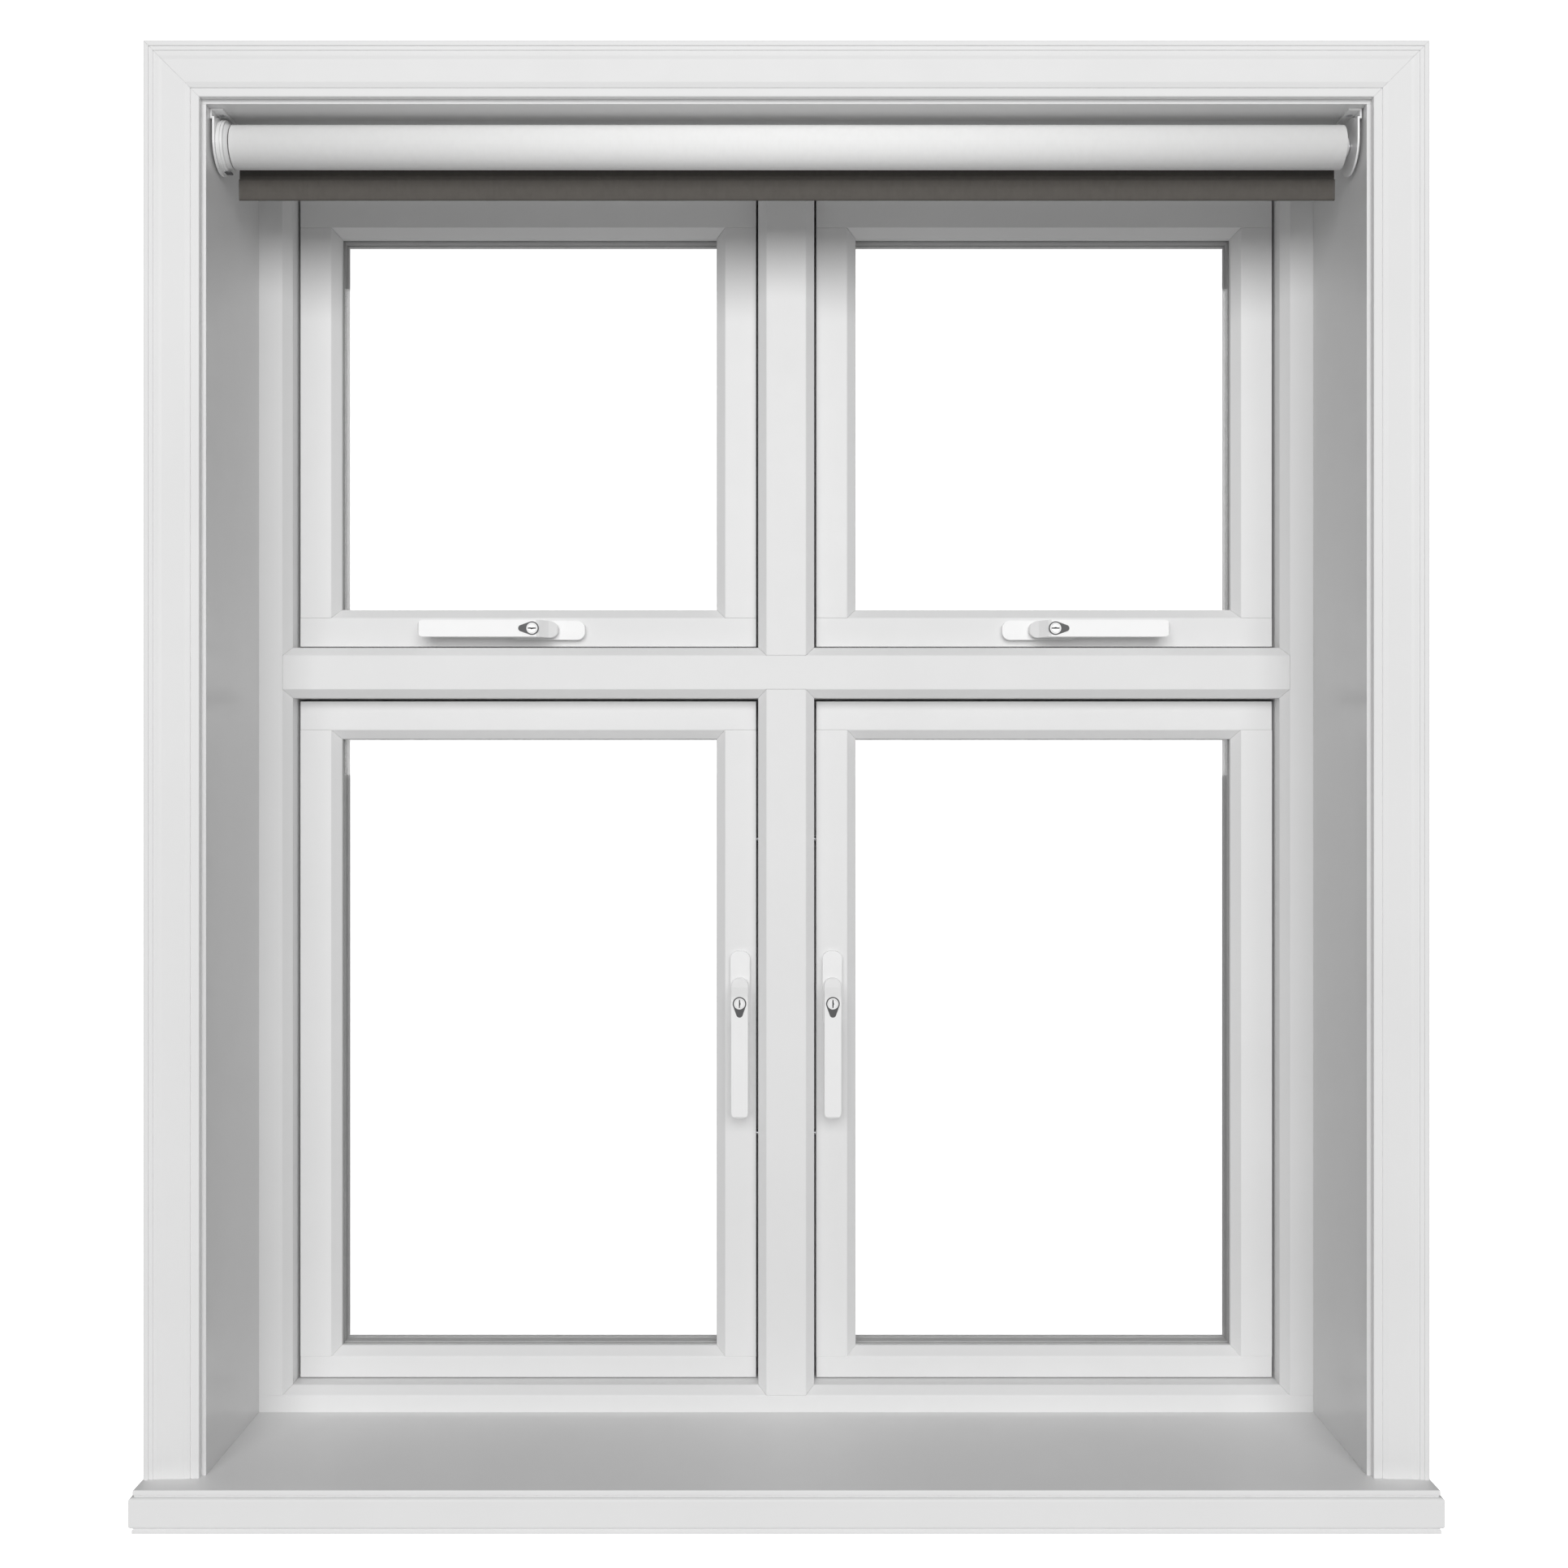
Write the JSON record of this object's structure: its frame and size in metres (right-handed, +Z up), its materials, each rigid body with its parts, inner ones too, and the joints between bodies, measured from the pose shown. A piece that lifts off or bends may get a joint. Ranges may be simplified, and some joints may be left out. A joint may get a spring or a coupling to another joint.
{
  "type": "casement window",
  "caption": "White timber casement window with top-hung and side-hung sashes, double glazing, locking lever handles, linings, architrave, window board and a roller blind.",
  "frame": {"origin": "middle of the underside of the fixed frame, half way through its depth", "axes": "+X to the right seen from the room, +Y to the outside, +Z up"},
  "size_m": [1.1648, 0.322, 1.3326],
  "materials": {
    "painted_timber": "satin white paint",
    "painted_lining": "semi-gloss white paint",
    "seal_rubber": "matte",
    "hinge_steel": "zinc plated",
    "handle_white": "gloss powder coat",
    "lock_white": "gloss",
    "glass": "clear",
    "bracket_metal": "satin",
    "blind_plastic": "satin",
    "tube_aluminium": "mill",
    "fabric_backing": "smooth white backing",
    "fabric_face": "plain weave"
  },
  "bodies": {
    "root": {"frame_head": "painted_timber", "frame_cill": "painted_timber", "sub_cill": "painted_timber", "frame_jambs": "painted_timber", "transom": "painted_timber", "mullions": "painted_timber", "lining_head": "painted_lining", "lining_sides": "painted_lining", "architrave_head": "painted_timber", "architrave_legs": "painted_timber", "window_board": "painted_timber", "weather_seals": "seal_rubber", "frame_hinge_leaves": "hinge_steel", "lock_keeps": "hinge_steel", "blind_brackets": "bracket_metal", "blind_drive_housing": "blind_plastic"},
    "blind_roller": {"blind_roller_tube": "tube_aluminium", "blind_fabric_roll": "fabric_backing"},
    "blind_hem": {"blind_fabric": "fabric_face", "blind_hem_bar": "fabric_face"},
    "upper_left_sash": {"upper_left_rails": "painted_timber", "upper_left_stiles": "painted_timber", "upper_left_glazing_unit": "glass", "upper_left_glazing_beads": "painted_timber", "upper_left_sash_hardware": "hinge_steel", "upper_left_handle_base": "handle_white"},
    "upper_left_handle": {"upper_left_handle_lever": "handle_white"},
    "upper_left_button": {"upper_left_lock_button": "lock_white"},
    "upper_left_key": {"upper_left_key_plug": "lock_white"},
    "upper_left_espag": {"upper_left_espag_rod": "hinge_steel"},
    "upper_right_sash": {"upper_right_rails": "painted_timber", "upper_right_stiles": "painted_timber", "upper_right_glazing_unit": "glass", "upper_right_glazing_beads": "painted_timber", "upper_right_sash_hardware": "hinge_steel", "upper_right_handle_base": "handle_white"},
    "upper_right_handle": {"upper_right_handle_lever": "handle_white"},
    "upper_right_button": {"upper_right_lock_button": "lock_white"},
    "upper_right_key": {"upper_right_key_plug": "lock_white"},
    "upper_right_espag": {"upper_right_espag_rod": "hinge_steel"},
    "lower_left_sash": {"lower_left_rails": "painted_timber", "lower_left_stiles": "painted_timber", "lower_left_glazing_unit": "glass", "lower_left_glazing_beads": "painted_timber", "lower_left_sash_hardware": "hinge_steel", "lower_left_handle_base": "handle_white"},
    "lower_left_handle": {"lower_left_handle_lever": "handle_white"},
    "lower_left_button": {"lower_left_lock_button": "lock_white"},
    "lower_left_key": {"lower_left_key_plug": "lock_white"},
    "lower_left_espag": {"lower_left_espag_rod": "hinge_steel"},
    "lower_right_sash": {"lower_right_rails": "painted_timber", "lower_right_stiles": "painted_timber", "lower_right_glazing_unit": "glass", "lower_right_glazing_beads": "painted_timber", "lower_right_sash_hardware": "hinge_steel", "lower_right_handle_base": "handle_white"},
    "lower_right_handle": {"lower_right_handle_lever": "handle_white"},
    "lower_right_button": {"lower_right_lock_button": "lock_white"},
    "lower_right_key": {"lower_right_key_plug": "lock_white"},
    "lower_right_espag": {"lower_right_espag_rod": "hinge_steel"}
  },
  "joints": [
    {"name": "upper_left_sash_swing", "type": "hinge", "parent": "root", "child": "upper_left_sash", "pos_m": [0, 0.039, 1.262], "axis": [1, 0, 0], "range_deg": [0, 60]},
    {"name": "upper_left_handle_turn", "type": "hinge", "parent": "upper_left_sash", "child": "upper_left_handle", "pos_m": [-0.2406, -0.03, 0.8055], "axis": [0, 1, 0], "range_deg": [0, 90]},
    {"name": "upper_left_button_press", "type": "slide", "parent": "upper_left_handle", "child": "upper_left_button", "axis": [0, 1, 0], "range_m": [0, 0.002], "stiffness_N_per_m": 1500, "springref_m": -0.001},
    {"name": "upper_left_key_turn", "type": "hinge", "parent": "upper_left_button", "child": "upper_left_key", "pos_m": [-0.2526, -0.036, 0.8055], "axis": [0, 1, 0], "range_deg": [0, 90]},
    {"name": "upper_left_rod_slide", "type": "slide", "parent": "upper_left_sash", "child": "upper_left_espag", "axis": [-1, 0, 0], "range_m": [0, 0.016]},
    {"name": "upper_right_sash_swing", "type": "hinge", "parent": "root", "child": "upper_right_sash", "pos_m": [0, 0.039, 1.262], "axis": [1, 0, 0], "range_deg": [0, 60]},
    {"name": "upper_right_handle_turn", "type": "hinge", "parent": "upper_right_sash", "child": "upper_right_handle", "pos_m": [0.2556, -0.03, 0.8055], "axis": [0, -1, 0], "range_deg": [0, 90]},
    {"name": "upper_right_button_press", "type": "slide", "parent": "upper_right_handle", "child": "upper_right_button", "axis": [0, 1, 0], "range_m": [0, 0.002], "stiffness_N_per_m": 1500, "springref_m": -0.001},
    {"name": "upper_right_key_turn", "type": "hinge", "parent": "upper_right_button", "child": "upper_right_key", "pos_m": [0.2676, -0.036, 0.8055], "axis": [0, -1, 0], "range_deg": [0, 90]},
    {"name": "upper_right_rod_slide", "type": "slide", "parent": "upper_right_sash", "child": "upper_right_espag", "axis": [1, 0, 0], "range_m": [0, 0.016]},
    {"name": "lower_left_sash_swing", "type": "hinge", "parent": "root", "child": "lower_left_sash", "pos_m": [-0.511, 0.039, 0.39], "axis": [0, 0, 1], "range_deg": [0, 90]},
    {"name": "lower_left_handle_turn", "type": "hinge", "parent": "lower_left_sash", "child": "lower_left_handle", "pos_m": [-0.0464, -0.03, 0.4443], "axis": [0, 1, 0], "range_deg": [0, 90]},
    {"name": "lower_left_button_press", "type": "slide", "parent": "lower_left_handle", "child": "lower_left_button", "axis": [0, 1, 0], "range_m": [0, 0.002], "stiffness_N_per_m": 1500, "springref_m": -0.001},
    {"name": "lower_left_key_turn", "type": "hinge", "parent": "lower_left_button", "child": "lower_left_key", "pos_m": [-0.0464, -0.036, 0.4323], "axis": [0, 1, 0], "range_deg": [0, 90]},
    {"name": "lower_left_rod_slide", "type": "slide", "parent": "lower_left_sash", "child": "lower_left_espag", "axis": [0, 0, -1], "range_m": [0, 0.016]},
    {"name": "lower_right_sash_swing", "type": "hinge", "parent": "root", "child": "lower_right_sash", "pos_m": [0.511, 0.039, 0.39], "axis": [0, 0, -1], "range_deg": [0, 90]},
    {"name": "lower_right_handle_turn", "type": "hinge", "parent": "lower_right_sash", "child": "lower_right_handle", "pos_m": [0.0464, -0.03, 0.4443], "axis": [0, -1, 0], "range_deg": [0, 90]},
    {"name": "lower_right_button_press", "type": "slide", "parent": "lower_right_handle", "child": "lower_right_button", "axis": [0, 1, 0], "range_m": [0, 0.002], "stiffness_N_per_m": 1500, "springref_m": -0.001},
    {"name": "lower_right_key_turn", "type": "hinge", "parent": "lower_right_button", "child": "lower_right_key", "pos_m": [0.0464, -0.036, 0.4323], "axis": [0, -1, 0], "range_deg": [0, 90]},
    {"name": "lower_right_rod_slide", "type": "slide", "parent": "lower_right_sash", "child": "lower_right_espag", "axis": [0, 0, -1], "range_m": [0, 0.016]},
    {"name": "blind_drop", "type": "slide", "parent": "root", "child": "blind_hem", "axis": [0, 0, -1], "range_m": [0, 1.15], "deforming": ["blind_fabric"]},
    {"name": "roller_spin", "type": "hinge", "parent": "root", "child": "blind_roller", "pos_m": [0, -0.16, 1.2392], "axis": [-1, 0, 0], "range_deg": [0, 3300]}
  ],
  "couplings": [
    {"joint": "upper_left_rod_slide", "follows": "upper_left_handle_turn", "m_per_rad": 0.010186},
    {"joint": "upper_right_rod_slide", "follows": "upper_right_handle_turn", "m_per_rad": 0.010186},
    {"joint": "lower_left_rod_slide", "follows": "lower_left_handle_turn", "m_per_rad": 0.010186},
    {"joint": "lower_right_rod_slide", "follows": "lower_right_handle_turn", "m_per_rad": 0.010186},
    {"joint": "roller_spin", "follows": "blind_drop", "rad_per_m": 50}
  ]
}
